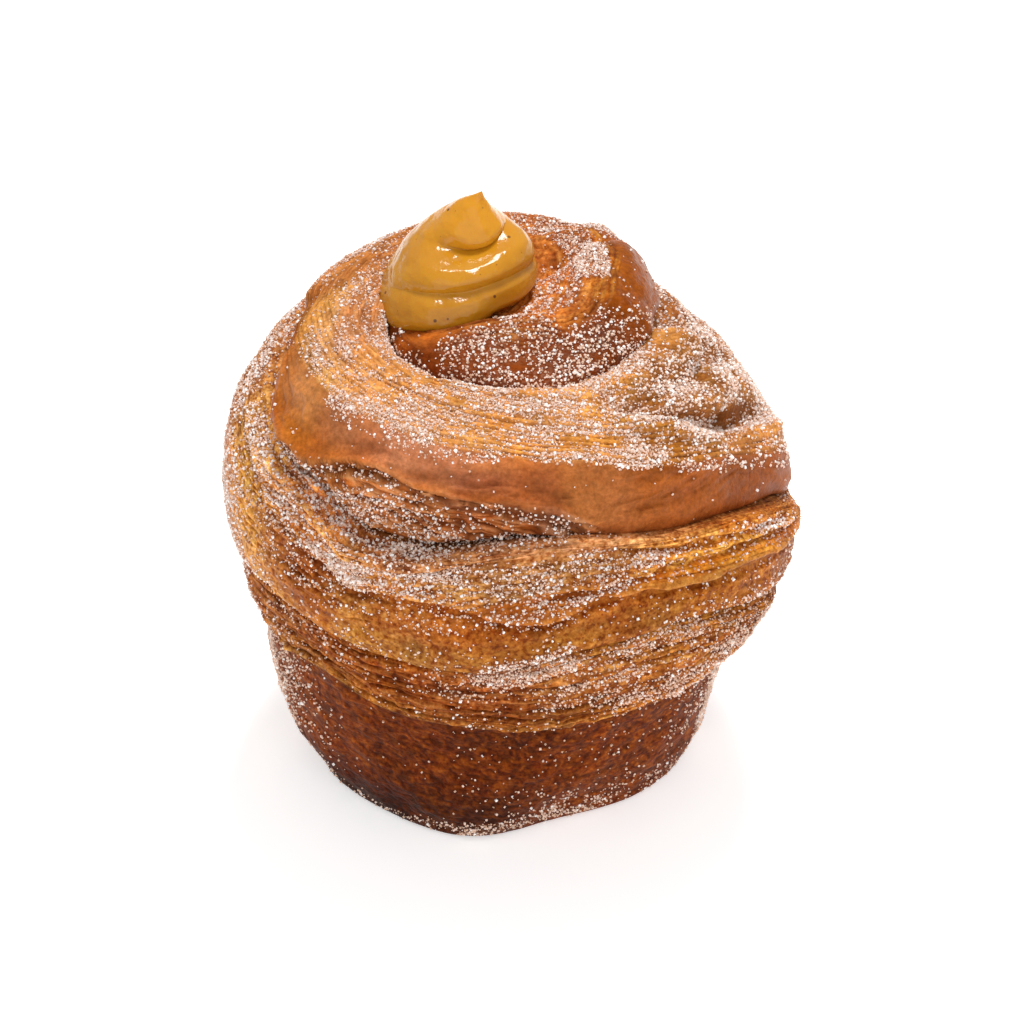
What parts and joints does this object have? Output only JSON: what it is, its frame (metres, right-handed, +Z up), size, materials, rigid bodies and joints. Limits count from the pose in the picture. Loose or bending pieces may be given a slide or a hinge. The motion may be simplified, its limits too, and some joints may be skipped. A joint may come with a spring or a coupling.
{
  "type": "cruffin",
  "caption": "Round spiral pastry: a domed, coiled crown over a ring-baked base, dusted with coarse sugar and topped with a dollop of custard.",
  "frame": {"origin": "centre of the flat underside of the base, on the surface the pastry stands on", "axes": "+Z up through the crown; -Y is the front, from which the coil is seen best; +X is to the right of the front"},
  "size_m": [0.0954, 0.0932, 0.1024],
  "materials": {
    "dough": "baked laminated dough: golden to deep brown crust, flaky layered faces, satin where smooth, under loose white sugar",
    "cream": "glossy golden custard with fine dark specks"
  },
  "bodies": {
    "root": {"dough_body": "dough", "cream_dollop": "cream"}
  },
  "joints": []
}
